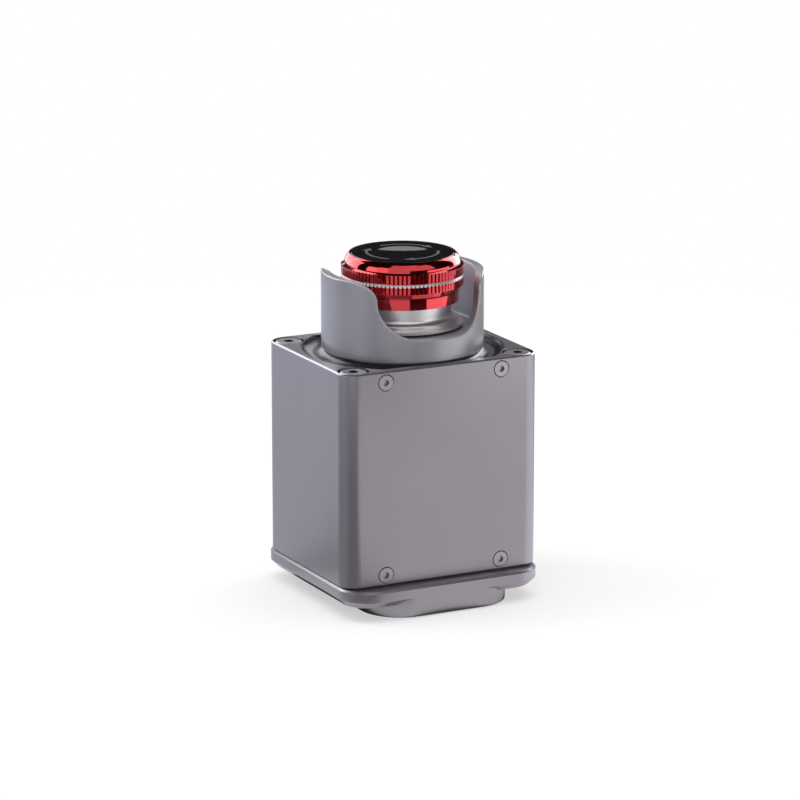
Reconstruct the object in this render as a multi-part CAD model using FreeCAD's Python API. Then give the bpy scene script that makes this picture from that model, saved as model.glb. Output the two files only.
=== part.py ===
import FreeCAD, Part
import math
import os

os.makedirs("parts", exist_ok=True)

Vector = FreeCAD.Vector
ORIGIN = Vector(0, 0, 0)
UP = Vector(0, 0, 1)
ACROSS = Vector(1, 0, 0)

# An emergency stop push button that stands on its foot. Millimetres, +Z up, front towards -Y.
# The origin is on the ground, under the axis of the push button.

# Driving dimensions of the housing
HOUSING_WIDTH = 70.8
HOUSING_DEPTH = 59.1
HOUSING_HEIGHT = 71.3
CORNER_RADIUS = 5.5
FRONT_WALL = 3.0
SIDE_WALL = 2.1
POCKET_DEPTH = 12.0
SHOULDER = 1.5
TOP_EDGE_CHAMFER = 0.5
LOWER_EDGE_CHAMFER = 0.7

# Base plate, foot and pad
BASE_SIDE_OVERHANG = 0.15
BASE_FRONT_OVERHANG = 5.2
BASE_THICKNESS = 5.8
BASE_TOP_CHAMFER = 0.7
BASE_UNDER_CHAMFER = 2.15
FOOT_WIDTH = 50.9
FOOT_HEIGHT = 4.2
FOOT_CORNER = 14.0
PAD_INSET = 4.0
PAD_THICKNESS = 1.0
PAD_STAND = 0.4
SPIGOT_HEIGHT = 2.0

# Corner bolts and front screws
BOLT_INSET = 5.66
BOLT_RADIUS = 2.5
BOLT_HEAD_RADIUS = 4.5
BOLT_HEAD_HEIGHT = 3.0
BOLT_HEAD_ROUND = 0.8
BOLT_HEAD_SINK = 0.2
BOLT_SOCKET = 3.0
BOLT_SOCKET_DEPTH = 2.0
BOLT_GRIP = 4.6
COUNTERBORE_RADIUS = 5.2
BOLT_CLEARANCE = 0.25
SCREW_SIDESTEP = 0.8
SCREW_INSET = 3.67
SCREW_RADIUS = 1.5
SCREW_HEAD_RADIUS = 2.55
SCREW_LENGTH = 9.0
SCREW_SOCKET = 1.9
SCREW_SOCKET_DEPTH = 1.1
SINK_MARGIN = 0.3
LUG_WIDTH = 8.0
LUG_DEPTH = 7.0

# Guard collar
COLLAR_WALL = 3.0
COLLAR_SKIRT_WALL = 2.5
COLLAR_SEAT_DEPTH = 0.4
COLLAR_TAPER_IN = 1.0
COLLAR_TAPER_RISE = 0.9
COLLAR_FLOOR_RISE = 7.2
COLLAR_FLOOR = 3.0
COLLAR_FLOOR_ROUND = 1.0
NOTCH_FLOOR_RISE = 7.6
NOTCH_RADIUS = 12.5
EAR_RADIUS = 5.85
EAR_FLAT = 2.4
NOTCH_EDGE_ROUND = 0.45
PIN_RADIUS = 1.0
PIN_LENGTH = 4.0

# Carrier under the collar, with a rounded channel that runs round the collar's foot
CHANNEL_SLOPE = math.radians(36)
CHANNEL_ROUND_SHARE = 0.8
CHANNEL_LAND = 0.3
CARRIER_SINK = 0.15
CARRIER_BOSS_WALL = 2.2
CARRIER_WEB = 3.0
CARRIER_SKIRT = 3.7
CARRIER_UNDERSIDE = 6.2
BOSS_GAP = 2.4

# Bezel, the body of the switch
BARREL_RADIUS = 10.95
BARREL_BORE = 8.0
BARREL_LENGTH = 17.5
BARREL_WEB = 3.0
FLANGE_PROUD = 2.3
FLANGE_THICKNESS = 0.9
LIP_PROUD = 1.8
LIP_HEIGHT = 1.5
LIP_ROUND = 0.5
NECK_GAP = 1.0
NECK_HEIGHT = 7.9
NECK_FLARE = 1.4
GASKET_THICKNESS = 0.8
GASKET_INSET = 0.4
NUT_ACROSS_FLATS = 25.0
NUT_THICKNESS = 4.5
BUSH_LENGTH = 5.3

# Mushroom head
HEAD_RADIUS = 20.0
HEAD_SKIRT_GAP = 5.5
SKIRT_INSET = 1.5
SKIRT_HEIGHT = 3.4
SKIRT_WALL = 1.6
SKIRT_GROOVE_HEIGHT = 0.6
SKIRT_GROOVE_DEPTH = 0.8
UNDER_BEVEL_HEIGHT = 1.4
UNDER_BEVEL_IN = 0.9
KNURL_HEIGHT = 6.4
KNURL_CHAMFER = 0.5
KNURL_GROOVE_RISE = 3.2
KNURL_GROOVE_BELOW = 0.85
KNURL_GROOVE_ABOVE = 0.25
KNURL_GROOVE_DEPTH = 0.5
KNURL_TEETH = 90
KNURL_DEPTH = 0.45
KNURL_LAND = 0.56
DOME_HEIGHT = 3.2
DOME_INSET = 1.0
DOME_LEAN = 1.6
HEAD_WEB = 3.0
DISC_RIM = 0.4
DISC_THICKNESS = 0.9
DISC_CHAMFER = 0.25
DISH_RADIUS = 8.8
DISH_DEPTH = 0.4
HUB_RADIUS = 8.5
HUB_LENGTH = 4.0
HEAD_SCREW_RADIUS = 2.0
HEAD_SCREW_HEAD_RADIUS = 3.8
HEAD_SCREW_LENGTH = 10.0
HEAD_SCREW_SOCKET = 2.5
HEAD_SCREW_SOCKET_DEPTH = 1.6

# Stem, spring and latch
TRAVEL = 4.5
STEM_RADIUS = 4.9
STEM_SHOULDER_RADIUS = 7.5
STEM_SHOULDER_HEIGHT = 1.7
STEM_END_RADIUS = 2.6
LATCH_THICKNESS = 1.0
LATCH_GROOVE_DEPTH = 0.4
LATCH_GAP = 3.0
SEAT_THICKNESS = 1.0
RETURN_WIRE = 0.9
RETURN_RADIUS = 6.45
RETURN_TURNS = 4.5
CLIP_THICKNESS = 0.7
CLIP_RADIUS = 4.4
CLIP_NECK_RADIUS = 2.0
STEM_TIP = 0.6

# Contact yoke, adapter and contact blocks
YOKE_THICKNESS = 3.0
YOKE_DEPTH = 10.0
YOKE_REACH = 4.0
ADAPTER_WIDTH = 28.0
ADAPTER_LAP = 2.0
ADAPTER_WALL = 3.0
ADAPTER_FLOOR = 2.5
ADAPTER_GAP = 0.8
ADAPTER_RING_WALL = 3.0
BLOCK_WIDTH = 11.6
BLOCK_DEPTH = 32.0
BLOCK_HEIGHT = 24.0
BLOCK_WALL = 2.0
BLOCK_END = 6.5
BLOCK_EDGE = 0.8
CONTACT_X = 8.0
LID_THICKNESS = 1.2
LID_MARGIN = 1.5
PLUNGER_RADIUS = 1.8
PLUNGER_PIN_RADIUS = 1.0
PLUNGER_PIN_LENGTH = 3.0
FIXED_CONTACT_DROP = 9.2
STRIP_THICKNESS = 0.8
STRIP_WIDTH = 4.0
STRIP_GAP = 7.0
STRIP_LEG_INSET = 3.0
STRIP_LEG = 9.5
BRIDGE_LENGTH = 13.0
CONTACT_WIRE = 0.5
CONTACT_SPRING_RADIUS = 1.75
CONTACT_TURNS = 4
SPRING_BOSS_HEIGHT = 2.0
TERMINAL_RADIUS = 1.5
TERMINAL_HEAD_RADIUS = 2.6
TERMINAL_HEAD_HEIGHT = 1.6
TERMINAL_LENGTH = 5.9
BLOCK_SCREW_INSET = 2.2
BLOCK_SCREW_RADIUS = 1.25
BLOCK_SCREW_HEAD_RADIUS = 2.2
BLOCK_SCREW_HEAD = 1.6
BLOCK_SCREW_GRIP = 5.0
SLOT_WIDTH = 0.8
SLOT_DEPTH = 0.8

# Lead inlet in the back wall
INLET_HEIGHT = 16.0
INLET_RADIUS = 6.0
INLET_WALL = 1.4
INLET_LENGTH = 12.0
INLET_FLANGE_RADIUS = 8.0
INLET_FLANGE = 2.2
INLET_RECESS = 9.0
INLET_INSERT = 4.0
INLET_NUT_FLATS = 17.0
INLET_NUT_THICKNESS = 3.0
INLET_PIN_RADIUS = 0.5
INLET_PIN_CIRCLE = 2.2
INLET_PIN_REACH = 4.0
INLET_PIN_TAIL = 2.5

# Clearances
SEAT_FIT = 0.1
FASTENER_FIT = 0.05
RUNNING_FIT = 0.08
TOUCH_GAP = 0.1
STOP_GAP = 0.3

# Heights that everything hangs on
FOOT_BOTTOM = PAD_STAND
BASE_BOTTOM = FOOT_BOTTOM + FOOT_HEIGHT
BASE_TOP = BASE_BOTTOM + BASE_THICKNESS
DECK = BASE_TOP + HOUSING_HEIGHT
COLLAR_SEAT = DECK - COLLAR_SEAT_DEPTH
COLLAR_FLOOR_TOP = DECK + COLLAR_FLOOR_RISE
COLLAR_FLOOR_BOTTOM = COLLAR_FLOOR_TOP - COLLAR_FLOOR
CARRIER_WEB_BOTTOM = COLLAR_FLOOR_BOTTOM - CARRIER_WEB
CARRIER_BOTTOM = DECK - POCKET_DEPTH
FLANGE_BOTTOM = COLLAR_FLOOR_TOP + GASKET_THICKNESS
LIP_TOP = FLANGE_BOTTOM + FLANGE_THICKNESS + LIP_HEIGHT
NECK_TOP = LIP_TOP + NECK_HEIGHT
BARREL_BOTTOM = FLANGE_BOTTOM - BARREL_LENGTH
BARREL_WEB_TOP = BARREL_BOTTOM + BARREL_WEB
BUSH_BOTTOM = NECK_TOP - BUSH_LENGTH
NUT_BOTTOM = CARRIER_WEB_BOTTOM - NUT_THICKNESS
SHOULDER_TOP = BUSH_BOTTOM - STOP_GAP
SHOULDER_BOTTOM = SHOULDER_TOP - STEM_SHOULDER_HEIGHT
SEAT_BOTTOM = SHOULDER_BOTTOM - SEAT_THICKNESS
LATCH_TOP = BARREL_WEB_TOP + LATCH_THICKNESS
YOKE_TOP = BARREL_BOTTOM - 2 * STOP_GAP
YOKE_BOTTOM = YOKE_TOP - YOKE_THICKNESS
CLIP_TOP = YOKE_BOTTOM - TOUCH_GAP
STEM_BOTTOM = CLIP_TOP - CLIP_THICKNESS - STEM_TIP
SKIRT_BOTTOM = LIP_TOP + HEAD_SKIRT_GAP
SKIRT_TOP = SKIRT_BOTTOM + SKIRT_HEIGHT
BEVEL_BOTTOM = SKIRT_TOP + SKIRT_GROOVE_HEIGHT
KNURL_BOTTOM = BEVEL_BOTTOM + UNDER_BEVEL_HEIGHT
KNURL_GROOVE = KNURL_BOTTOM + KNURL_GROOVE_RISE
KNURL_TOP = KNURL_BOTTOM + KNURL_HEIGHT
DOME_BOTTOM = KNURL_TOP + KNURL_CHAMFER
HEAD_TOP = DOME_BOTTOM + DOME_HEIGHT
DISC_SEAT = HEAD_TOP - DISC_THICKNESS
HEAD_UNDERSIDE = DISC_SEAT - HEAD_WEB
HUB_BOTTOM = HEAD_UNDERSIDE - HUB_LENGTH
STEM_TOP = HEAD_UNDERSIDE
ADAPTER_TOP = NUT_BOTTOM - ADAPTER_GAP
ADAPTER_FRAME_TOP = DECK - CARRIER_UNDERSIDE - ADAPTER_GAP
WINDOW_TOP = YOKE_TOP + STOP_GAP
WINDOW_BOTTOM = YOKE_BOTTOM - TRAVEL - ADAPTER_GAP
BLOCK_TOP = WINDOW_BOTTOM - ADAPTER_FLOOR
BLOCK_BOTTOM = BLOCK_TOP - BLOCK_HEIGHT
CAVITY_TOP = BLOCK_TOP - BLOCK_WALL
CAVITY_BOTTOM = BLOCK_BOTTOM + BLOCK_WALL
STRIP_TOP = BLOCK_TOP - FIXED_CONTACT_DROP
STRIP_BOTTOM = STRIP_TOP - STRIP_THICKNESS
BRIDGE_TOP = STRIP_BOTTOM - TOUCH_GAP
BRIDGE_BOTTOM = BRIDGE_TOP - STRIP_THICKNESS
TERMINAL_HEIGHT = STRIP_BOTTOM - STRIP_LEG + TERMINAL_HEAD_RADIUS
INLET_AXIS = BASE_TOP + INLET_HEIGHT

# Places in plan
BACK_FACE = HOUSING_DEPTH / 2
POCKET_FLAT = BACK_FACE - FRONT_WALL
POCKET_RADIUS = HOUSING_WIDTH / 2 - SIDE_WALL
POCKET_HALF_CHORD = math.sqrt(POCKET_RADIUS ** 2 - POCKET_FLAT ** 2)
CAVITY_RADIUS = POCKET_RADIUS - SHOULDER
CAVITY_FLAT = POCKET_FLAT - SHOULDER
BASE_WIDTH = HOUSING_WIDTH + 2 * BASE_SIDE_OVERHANG
BASE_DEPTH = HOUSING_DEPTH + 2 * BASE_FRONT_OVERHANG
BASE_CORNER = CORNER_RADIUS + BASE_FRONT_OVERHANG
COLLAR_RADIUS = POCKET_FLAT
COLLAR_FOOT_RADIUS = COLLAR_RADIUS - COLLAR_TAPER_IN
COLLAR_INNER_RADIUS = COLLAR_RADIUS - COLLAR_WALL
COLLAR_SKIRT_INNER = COLLAR_FOOT_RADIUS - COLLAR_SKIRT_WALL
NOTCH_HALF_WIDTH = COLLAR_RADIUS - EAR_RADIUS - EAR_FLAT
BOSS_RADIUS = COLLAR_SKIRT_INNER - BOSS_GAP
CARRIER_HOLLOW = BOSS_RADIUS - CARRIER_BOSS_WALL
BARREL_HOLE = BARREL_RADIUS + BOLT_CLEARANCE
PIN_PLACE = BOSS_RADIUS - CARRIER_BOSS_WALL / 2
DOME_RADIUS = HEAD_RADIUS - DOME_INSET
DOME_ROUND = (DOME_HEIGHT ** 2 + DOME_LEAN ** 2) / (2 * DOME_LEAN)
DISC_RADIUS = DOME_RADIUS - DOME_LEAN - DISC_RIM
SKIRT_RADIUS = HEAD_RADIUS - SKIRT_INSET
NECK_RADIUS = SKIRT_RADIUS - SKIRT_WALL - NECK_GAP
LIP_RADIUS = NECK_RADIUS + LIP_PROUD
FLANGE_RADIUS = LIP_RADIUS + FLANGE_PROUD
ADAPTER_DEPTH = BLOCK_DEPTH + 2 * ADAPTER_LAP
ADAPTER_WINDOW = ADAPTER_DEPTH / 2 - ADAPTER_WALL
BLOCK_CAVITY_DEPTH = BLOCK_DEPTH - 2 * BLOCK_END
BLOCK_SCREW_X = CONTACT_X - BLOCK_WIDTH / 2 + BLOCK_SCREW_INSET
BLOCK_SCREW_Y = ADAPTER_WINDOW - BLOCK_SCREW_HEAD_RADIUS - STOP_GAP
STRIP_LEG_Y = BLOCK_DEPTH / 2 - STRIP_LEG_INSET
BOLT_PLACES = [
    (side * (HOUSING_WIDTH / 2 - BOLT_INSET), end * (HOUSING_DEPTH / 2 - BOLT_INSET))
    for side in (-1, 1)
    for end in (-1, 1)
]
SCREW_X = POCKET_HALF_CHORD + SCREW_SIDESTEP
SCREW_HEIGHTS = (BASE_TOP + SCREW_INSET, DECK - SCREW_INSET)
SCREW_PLACES = [(side * SCREW_X, height) for side in (-1, 1) for height in SCREW_HEIGHTS]
SIDES = {"left": -1, "right": 1}


# Outlines and basic solids

def corner_arc(before, corner, after, radius):
    """Start, middle and end of the arc that rounds one corner of an outline."""
    to_before = (before - corner).normalize()
    to_after = (after - corner).normalize()
    half_angle = to_before.getAngle(to_after) / 2
    reach = radius / math.tan(half_angle)
    bisector = (to_before + to_after).normalize()
    centre = corner + bisector * (radius / math.sin(half_angle))
    return corner + to_before * reach, centre - bisector * radius, corner + to_after * reach


def outline(corners, plane):
    """Closed wire through corners (a, b) or (a, b, radius), placed by plane(a, b)."""
    points = [plane(corner[0], corner[1]) for corner in corners]
    stretches = []
    for i, corner in enumerate(corners):
        if len(corner) > 2 and corner[2]:
            after = points[(i + 1) % len(points)]
            stretches.append(corner_arc(points[i - 1], points[i], after, corner[2]))
        else:
            stretches.append((points[i],))
    edges = []
    for i, stretch in enumerate(stretches):
        if len(stretch) > 1:
            edges.append(Part.Arc(*stretch).toShape())
        following = stretches[(i + 1) % len(stretches)][0]
        if not stretch[-1].isEqual(following, Part.Precision.confusion()):
            edges.append(Part.LineSegment(stretch[-1], following).toShape())
    return Part.Wire(edges)


def section(radius, height):
    """A point of a turned profile."""
    return Vector(radius, 0, height)


def turned(corners):
    """Solid of revolution about the axis of the button."""
    return Part.Face(outline(corners, section)).revolve(ORIGIN, UP, 360)


def prism(corners, low, high):
    """Upright solid on a plan outline."""
    face = Part.Face(outline(corners, lambda x, y: Vector(x, y, low)))
    return face.extrude(UP * (high - low))


def rectangle(width, depth, radius=0):
    """Corners of a rectangle about the origin."""
    x = width / 2
    y = depth / 2
    return [(x, y, radius), (-x, y, radius), (-x, -y, radius), (x, -y, radius)]


def hexagon(across_flats):
    """Corners of a hexagon about the origin."""
    reach = across_flats / math.sqrt(3)
    angles = [math.radians(60 * i) for i in range(6)]
    return [(reach * math.cos(angle), reach * math.sin(angle)) for angle in angles]


def rod(radius, low, high, x=0, y=0):
    """Upright cylinder."""
    return Part.makeCylinder(radius, high - low, Vector(x, y, low))


def tube(outer, inner, low, high):
    """Upright ring."""
    return rod(outer, low, high).cut(rod(inner, low, high))


def block(x_range, y_range, z_range):
    """Box between two limits each way."""
    size = [high - low for low, high in (x_range, y_range, z_range)]
    return Part.makeBox(*size, Vector(x_range[0], y_range[0], z_range[0]))


def span(one, other):
    """Two limits in rising order."""
    return (min(one, other), max(one, other))


def edges_at(shape, height):
    """Edges that lie level at one height."""
    tolerance = Part.Precision.confusion()
    return [e for e in shape.Edges if all(abs(v.Z - height) < tolerance for v in e.Vertexes)]


def facing(shape, direction, x, y, z):
    """Turns an upright shape's +Z towards the front (-1) or back (+1) and puts it in place."""
    shape = shape.copy()
    shape.rotate(ORIGIN, ACROSS, -90 * direction)
    shape.translate(Vector(x, y, z))
    return shape


def save(node, shape):
    shape.exportStep(f"parts/{node}.step")


# Enclosure

def round_hollow(radius, flat, low, high):
    """The housing's round hollow, cut off by its flat front and back walls."""
    slab = block((-radius - 1, radius + 1), (-flat, flat), (low, high))
    return rod(radius, low, high).common(slab)


def front_lugs(radius, flat, low, high):
    """Two lugs behind the front wall that the front screws bite into."""
    reach = LUG_WIDTH / 2
    lugs = [
        block((x - reach, x + reach), (-flat, LUG_DEPTH - flat), (low, high)) for x in (-SCREW_X, SCREW_X)
    ]
    return lugs[0].fuse(lugs[1]).common(round_hollow(radius, flat, low, high))


def screw_holes(radius, height):
    """Holes for one row of front screws."""
    hole = Part.makeCylinder(radius, SCREW_LENGTH + TOUCH_GAP, ORIGIN, Vector(0, 1, 0))
    holes = []
    for side in (-1, 1):
        copy = hole.copy()
        copy.translate(Vector(side * SCREW_X, -BACK_FACE, height))
        holes.append(copy)
    return holes


def base_plate():
    plate = prism(rectangle(BASE_WIDTH, BASE_DEPTH, BASE_CORNER), BASE_BOTTOM, BASE_TOP)
    plate = plate.makeChamfer(BASE_TOP_CHAMFER, edges_at(plate, BASE_TOP))
    plate = plate.makeChamfer(BASE_UNDER_CHAMFER, edges_at(plate, BASE_BOTTOM))
    foot_top = BASE_BOTTOM + BASE_UNDER_CHAMFER
    foot = prism(rectangle(FOOT_WIDTH, BASE_DEPTH, FOOT_CORNER), FOOT_BOTTOM, foot_top)
    radius = CAVITY_RADIUS - SEAT_FIT
    flat = CAVITY_FLAT - SEAT_FIT
    spigot = round_hollow(radius, flat, BASE_TOP, BASE_TOP + SPIGOT_HEIGHT)
    lugs = front_lugs(radius, flat, BASE_TOP, BASE_TOP + 2 * SCREW_INSET)
    base = plate.fuse([foot, spigot, lugs]).removeSplitter()
    cuts = [pad_outline(FOOT_BOTTOM, PAD_THICKNESS - PAD_STAND + FOOT_BOTTOM, SEAT_FIT)]
    thread_end = BASE_TOP - BOLT_GRIP - TOUCH_GAP
    cuts += [rod(BOLT_RADIUS + FASTENER_FIT, thread_end, BASE_TOP, x, y) for x, y in BOLT_PLACES]
    cuts += screw_holes(SCREW_RADIUS + FASTENER_FIT, SCREW_HEIGHTS[0])
    return base.cut(cuts)


def pad_outline(low, high, margin):
    """The pad's shape, or its recess when given a margin."""
    inset = 2 * (PAD_INSET - margin)
    radius = FOOT_CORNER - PAD_INSET + margin
    return prism(rectangle(FOOT_WIDTH - inset, BASE_DEPTH - inset, radius), low, high)


def foot_pad():
    return pad_outline(0, PAD_THICKNESS, 0)


def housing():
    shell = prism(rectangle(HOUSING_WIDTH, HOUSING_DEPTH, CORNER_RADIUS), BASE_TOP, DECK)
    shell = shell.makeChamfer(TOP_EDGE_CHAMFER, edges_at(shell, DECK))
    shell = shell.makeChamfer(LOWER_EDGE_CHAMFER, edges_at(shell, BASE_TOP))
    cuts = [
        round_hollow(POCKET_RADIUS, POCKET_FLAT, CARRIER_BOTTOM, DECK),
        round_hollow(CAVITY_RADIUS, CAVITY_FLAT, BASE_TOP, CARRIER_BOTTOM),
    ]
    bore_bottom = DECK - BOLT_HEAD_SINK - BOLT_HEAD_HEIGHT
    for x, y in BOLT_PLACES:
        cuts.append(rod(BOLT_RADIUS + BOLT_CLEARANCE, BASE_TOP, DECK, x, y))
        cuts.append(rod(COUNTERBORE_RADIUS, bore_bottom, DECK, x, y))
    for height in SCREW_HEIGHTS:
        cuts += screw_holes(SCREW_RADIUS + SEAT_FIT, height)
    cuts += [facing(screw_head(SINK_MARGIN), -1, x, -BACK_FACE, height) for x, height in SCREW_PLACES]
    inlet_hole = rod(INLET_RADIUS + SEAT_FIT, -FRONT_WALL - 2 * SHOULDER, 0)
    cuts.append(facing(inlet_hole, 1, 0, BACK_FACE, INLET_AXIS))
    return shell.cut(cuts)


def corner_bolts():
    top = DECK - BOLT_HEAD_SINK
    head_bottom = top - BOLT_HEAD_HEIGHT
    bolts = []
    for x, y in BOLT_PLACES:
        bolt = turned([
            (0, top),
            (BOLT_HEAD_RADIUS, top, BOLT_HEAD_ROUND),
            (BOLT_HEAD_RADIUS, head_bottom),
            (BOLT_RADIUS, head_bottom),
            (BOLT_RADIUS, BASE_TOP - BOLT_GRIP),
            (0, BASE_TOP - BOLT_GRIP),
        ])
        bolt = bolt.cut(prism(hexagon(BOLT_SOCKET), top - BOLT_SOCKET_DEPTH, top))
        bolt.translate(Vector(x, y, 0))
        bolts.append(bolt)
    return Part.makeCompound(bolts)


def screw_head(margin=0):
    """Countersunk head with its flat top at the origin, or its sink when given a margin."""
    radius = SCREW_HEAD_RADIUS + margin
    return turned([(0, 0), (radius, 0), (SCREW_RADIUS, SCREW_RADIUS - radius), (0, SCREW_RADIUS - radius)])


def front_screws():
    screw = screw_head().fuse(rod(SCREW_RADIUS, -SCREW_LENGTH, SCREW_RADIUS - SCREW_HEAD_RADIUS))
    screw = screw.cut(prism(hexagon(SCREW_SOCKET), -SCREW_SOCKET_DEPTH, 0)).removeSplitter()
    return Part.makeCompound([facing(screw, -1, x, -BACK_FACE, height) for x, height in SCREW_PLACES])


# Guard collar and the carrier that it stands on

def switch_carrier():
    rim = POCKET_RADIUS - SEAT_FIT
    rim_top = DECK - CARRIER_SINK
    underside = DECK - CARRIER_UNDERSIDE
    inner = COLLAR_FOOT_RADIUS + CHANNEL_LAND
    outer = rim - CHANNEL_LAND
    half_width = (outer - inner) / 2
    depth = half_width * math.tan(CHANNEL_SLOPE)
    bottom_round = CHANNEL_ROUND_SHARE * half_width / math.sin(CHANNEL_SLOPE)
    carrier = turned([
        (BARREL_HOLE, COLLAR_FLOOR_BOTTOM),
        (BOSS_RADIUS, COLLAR_FLOOR_BOTTOM),
        (BOSS_RADIUS, COLLAR_SEAT),
        (inner, COLLAR_SEAT),
        (inner + half_width, COLLAR_SEAT - depth, bottom_round),
        (outer, rim_top),
        (rim, rim_top),
        (rim, CARRIER_BOTTOM),
        (rim - CARRIER_SKIRT, CARRIER_BOTTOM),
        (rim - CARRIER_SKIRT, underside),
        (CARRIER_HOLLOW, underside),
        (CARRIER_HOLLOW, CARRIER_WEB_BOTTOM),
        (BARREL_HOLE, CARRIER_WEB_BOTTOM),
    ])
    flat = POCKET_FLAT - SEAT_FIT
    carrier = carrier.common(round_hollow(rim, flat, CARRIER_BOTTOM, COLLAR_FLOOR_BOTTOM))
    screws = screw_holes(SCREW_RADIUS + FASTENER_FIT, SCREW_HEIGHTS[1])
    return carrier.cut(screws + [collar_pin(FASTENER_FIT)])


def notch():
    """What is cut away above the ears and between them, at the front and the back."""
    floor = DECK + NOTCH_FLOOR_RISE
    rise = floor + NOTCH_RADIUS
    ear_top = rise + EAR_RADIUS
    beyond = COLLAR_RADIUS + EAR_RADIUS
    corners = [
        (-beyond, ear_top),
        (-NOTCH_HALF_WIDTH, ear_top, EAR_RADIUS),
        (-NOTCH_HALF_WIDTH, floor, NOTCH_RADIUS),
        (NOTCH_HALF_WIDTH, floor, NOTCH_RADIUS),
        (NOTCH_HALF_WIDTH, ear_top, EAR_RADIUS),
        (beyond, ear_top),
        (beyond, ear_top + 2 * EAR_RADIUS),
        (-beyond, ear_top + 2 * EAR_RADIUS),
    ]
    face = Part.Face(outline(corners, lambda x, z: Vector(x, -beyond, z)))
    return face.extrude(Vector(0, 2 * beyond, 0))


def guard_collar():
    rough_top = DECK + NOTCH_FLOOR_RISE + NOTCH_RADIUS + 2 * EAR_RADIUS
    cup = turned([
        (BARREL_HOLE, COLLAR_FLOOR_TOP),
        (COLLAR_INNER_RADIUS, COLLAR_FLOOR_TOP, COLLAR_FLOOR_ROUND),
        (COLLAR_INNER_RADIUS, rough_top),
        (COLLAR_RADIUS, rough_top),
        (COLLAR_RADIUS, COLLAR_SEAT + COLLAR_TAPER_RISE),
        (COLLAR_FOOT_RADIUS, COLLAR_SEAT),
        (COLLAR_SKIRT_INNER, COLLAR_SEAT),
        (COLLAR_SKIRT_INNER, COLLAR_FLOOR_BOTTOM),
        (BARREL_HOLE, COLLAR_FLOOR_BOTTOM),
    ])
    cup = cup.cut(notch())
    lowest = DECK + NOTCH_FLOOR_RISE - NOTCH_EDGE_ROUND
    rim_edges = [e for e in cup.Edges if e.BoundBox.ZMin > lowest and on_wall(e)]
    cup = cup.makeFillet(NOTCH_EDGE_ROUND, rim_edges)
    return cup.cut(collar_pin(FASTENER_FIT))


def on_wall(edge):
    """True for an edge that lies on the collar's outer or inner wall."""
    reach = [math.hypot(v.X, v.Y) for v in edge.Vertexes]
    near = Part.Precision.confusion() * 100
    return any(all(abs(r - wall) < near for r in reach) for wall in (COLLAR_RADIUS, COLLAR_INNER_RADIUS))


def collar_pin(margin=0):
    """Dowel half in the carrier and half in the collar's floor, or its hole when given a margin."""
    reach = PIN_LENGTH / 2 + margin
    return rod(PIN_RADIUS + margin, COLLAR_FLOOR_BOTTOM - reach, COLLAR_FLOOR_BOTTOM + reach, 0, PIN_PLACE)


# Switch body

def bezel():
    flange_top = FLANGE_BOTTOM + FLANGE_THICKNESS
    return turned([
        (FLANGE_RADIUS, FLANGE_BOTTOM),
        (FLANGE_RADIUS, flange_top),
        (LIP_RADIUS, flange_top),
        (LIP_RADIUS, LIP_TOP, LIP_ROUND),
        (NECK_RADIUS, LIP_TOP, NECK_FLARE),
        (NECK_RADIUS, NECK_TOP),
        (BARREL_BORE, NECK_TOP),
        (BARREL_BORE, BARREL_WEB_TOP),
        (STEM_RADIUS + RUNNING_FIT, BARREL_WEB_TOP),
        (STEM_RADIUS + RUNNING_FIT, BARREL_BOTTOM),
        (BARREL_RADIUS, BARREL_BOTTOM),
        (BARREL_RADIUS, FLANGE_BOTTOM),
    ])


def bezel_gasket():
    return tube(FLANGE_RADIUS - GASKET_INSET, BARREL_HOLE, COLLAR_FLOOR_TOP, FLANGE_BOTTOM)


def lock_nut():
    nut = prism(hexagon(NUT_ACROSS_FLATS), NUT_BOTTOM, CARRIER_WEB_BOTTOM)
    return nut.cut(rod(BARREL_RADIUS + FASTENER_FIT, NUT_BOTTOM, CARRIER_WEB_BOTTOM))


def guide_bush():
    return tube(BARREL_BORE - FASTENER_FIT, STEM_RADIUS + RUNNING_FIT, BUSH_BOTTOM, NECK_TOP)


def latch_ring():
    ring = tube(BARREL_BORE - SEAT_FIT, STEM_RADIUS + STOP_GAP, BARREL_WEB_TOP, LATCH_TOP)
    gap = block((0, BARREL_BORE), (-LATCH_GAP / 2, LATCH_GAP / 2), (BARREL_WEB_TOP, LATCH_TOP))
    return ring.cut(gap)


def coil(radius, wire, low, high, turns, x=0):
    """Square wire compression spring that just fits between two heights."""
    height = high - low - wire
    path = Part.makeHelix(height / turns, height, radius)
    half = wire / 2
    corners = [(radius - half, -half), (radius + half, -half), (radius + half, half), (radius - half, half)]
    spring = Part.Wire(path).makePipeShell([outline(corners, section)], True, True)
    spring.translate(Vector(x, 0, low + half))
    return spring


def return_spring():
    return coil(RETURN_RADIUS, RETURN_WIRE, LATCH_TOP, SEAT_BOTTOM, RETURN_TURNS)


def spring_seat():
    return tube(BARREL_BORE - STOP_GAP, STEM_RADIUS + RUNNING_FIT, SEAT_BOTTOM, SHOULDER_BOTTOM)


# Head and stem

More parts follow.
